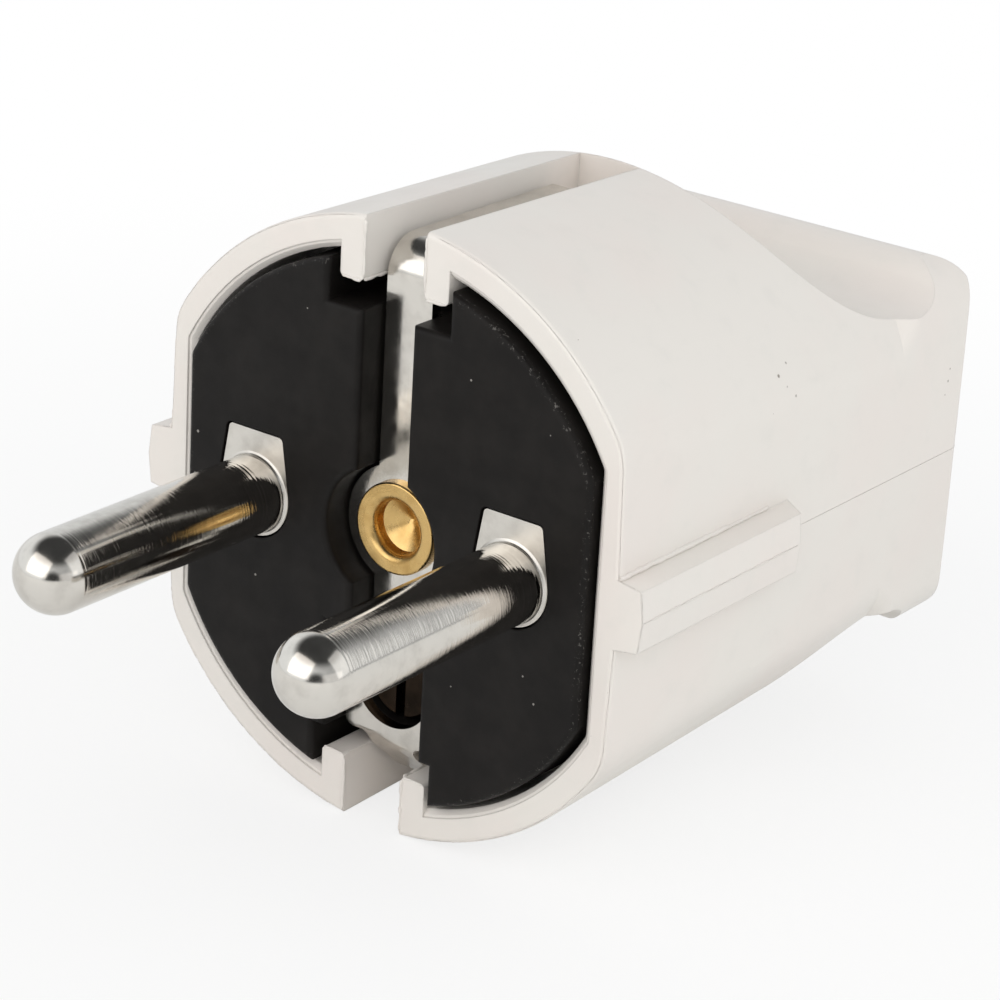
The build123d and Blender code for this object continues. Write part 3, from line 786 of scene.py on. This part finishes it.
# %% Tree of the flash
FLASH_SIZES = {"Step": "Float", "Radius": "Float", "Breaks": "Float", "Blunt ends": "Float", "Seed": "Float"}
flash_tree, size = new_tree("mould_flash", FLASH_SIZES)
path = add(flash_tree, "GeometryNodeMeshToCurve", {0: size["Geometry"]}).outputs[0]
path = add(
    flash_tree, "GeometryNodeResampleCurve", {"Curve": path, "Length": size["Step"]}, mode="LENGTH"
).outputs[0]
place = add(
    flash_tree,
    "ShaderNodeVectorMath",
    {0: add(flash_tree, "GeometryNodeInputPosition").outputs[0], "Scale": 1 / MM},
    operation="SCALE",
).outputs[0]
feeds = {"Vector": place, "W": size["Seed"], "Scale": 2.5, "Detail": 3.0}
wander = add(flash_tree, "ShaderNodeTexNoise", feeds, noise_dimensions="4D").outputs["Color"]
wander = add(
    flash_tree, "ShaderNodeVectorMath", {0: wander, 1: (0.5, 0.5, 0.5)}, operation="SUBTRACT"
).outputs[0]
wander = add(
    flash_tree, "ShaderNodeVectorMath", {0: wander, "Scale": size["Radius"]}, operation="SCALE"
).outputs[0]
path = add(flash_tree, "GeometryNodeSetPosition", {0: path, "Offset": wander}).outputs[0]
feeds = {"Vector": place, "W": size["Seed"], "Scale": 1.1, "Detail": 4.0}
swell = add(flash_tree, "ShaderNodeTexNoise", feeds, noise_dimensions="4D").outputs["Fac"]
broken = calc(flash_tree, "MULTIPLY", ramp(flash_tree, swell, 0.56, 0.44), size["Breaks"])
thick = calc(flash_tree, "ADD", calc(flash_tree, "SUBTRACT", 1.0, broken), 0.1)
way = add(flash_tree, "GeometryNodeSplineParameter").outputs["Factor"]
from_end = calc(flash_tree, "MINIMUM", way, calc(flash_tree, "SUBTRACT", 1.0, way))
taper = calc(flash_tree, "MAXIMUM", ramp(flash_tree, from_end, -0.002, 0.03), size["Blunt ends"])
thick = calc(flash_tree, "MULTIPLY", calc(flash_tree, "MULTIPLY", thick, taper), size["Radius"])
ring = add(flash_tree, "GeometryNodeCurvePrimitiveCircle", {"Resolution": 7, "Radius": 1.0}).outputs[0]
bead = add(
    flash_tree,
    "GeometryNodeCurveToMesh",
    {"Curve": path, "Profile Curve": ring, "Scale": thick, "Fill Caps": True},
).outputs[0]
end_tree(flash_tree, bead, shell_plastic)
print("tree", flash_tree.name, "with", len(flash_tree.nodes), "nodes")

# %% Lines of the flash
shell_mesh = frame["nodes"]["shell"].data
shell_surface = BVHTree.FromPolygons(
    [vertex.co for vertex in shell_mesh.vertices], [face.vertices[:] for face in shell_mesh.polygons]
)


def lay(points, toward):
    """Lays points, given in mm, on the shell along a direction, and leaves out those that miss it."""
    hits = [shell_surface.ray_cast(Vector(point) * MM, Vector(toward))[0] for point in points]
    return [hit for hit in hits if hit]


def steps(first, last, count):
    """Evenly spaced numbers, both ends included."""
    return [first + (last - first) * index / (count - 1) for index in range(count)]


def mirrored_lines(lines, *signs):
    """Copies of lines with their x and z turned round as the signs say."""
    return [[Vector((p.x * sx, p.y, p.z * sz)) for p in line] for sx, sz in signs for line in lines]


both_sides = (1, 1), (-1, 1)
four_ways = (1, 1), (-1, 1), (1, -1), (-1, -1)
near_zero = 0.01
far_right, far_back = 40, 60
rib_front, rib_back = 0.56, 16.4
side_front, side_back = 16.6, 37.5
rear_side, inlet_edge = 16.0, 5.6
root_height, thin_root_height = 2.2, 2.18
root_front_end, root_middle, root_rear_end = 0.6, 11.0, 15.3
rim_back = 0.58
inward, forward = (-1, 0, 0), (0, -1, 0)

along_rib = lay([(far_right, y, near_zero) for y in steps(rib_front, rib_back, 100)], inward)
along_side = lay([(far_right, y, near_zero) for y in steps(side_front, side_back, 140)], inward)
round_rear = lay([(x, far_back, near_zero) for x in steps(rear_side, inlet_edge, 60)], forward)
root_front = lay([(far_right, y, root_height) for y in steps(root_front_end, root_middle, 60)], inward)
root_rear = lay([(far_right, y, thin_root_height) for y in steps(root_middle, root_rear_end, 30)], inward)

rim_line = []
for angle in steps(math.radians(-82), math.radians(82), 400):
    outward = Vector((math.cos(angle), 0, math.sin(angle)))
    rim_line += lay([(far_right * outward.x, rim_back, far_right * outward.z)], -outward)

tab_front = 0.52
tab_inner, tab_outer, tab_height = 2.2, 3.9, 14.85
tab_end = [Vector((x, tab_front, tab_height)) * MM for x in steps(tab_inner + 0.1, tab_outer - 0.1, 12)]
tab_side = [Vector((tab_inner, tab_front, z)) * MM for z in steps(tab_height + 0.2, 18.5, 20)]
tab_floor = [Vector((tab_inner + 0.04, y, tab_height + 0.04)) * MM for y in steps(0.6, 4.0, 20)]
print("lines laid on the shell:", len(along_rib), len(along_side), len(root_front), len(rim_line), "points")

# %% Grow the flash
flash_lines = {
    "rib_flash": (mirrored_lines([along_rib], *both_sides), 0.06, 0.55, 0.0, 2.0),
    "parting_line": (mirrored_lines([along_side + round_rear], *both_sides), 0.016, 0.25, 0.0, 5.0),
    "root_flash": (mirrored_lines([root_front], *both_sides), 0.17, 0.15, 1.0, 9.0),
    "root_flash_thin": (mirrored_lines([root_rear], *both_sides), 0.11, 0.3, 1.0, 11.0),
    "rim_flash": (mirrored_lines([rim_line], *both_sides), 0.045, 0.7, 0.0, 14.0),
    "tab_flash": (mirrored_lines([tab_end, tab_side, tab_floor], *four_ways), 0.11, 0.5, 0.0, 17.0),
}
for name, (lines, radius, breaks, blunt, seed) in flash_lines.items():
    sizes = {
        "Step": 0.14 * MM,
        "Radius": radius * MM,
        "Breaks": breaks,
        "Blunt ends": blunt,
        "Seed": seed,
    }
    place_piece(grow(name, line_mesh(name, *lines), flash_tree, sizes), "shell_plastic")
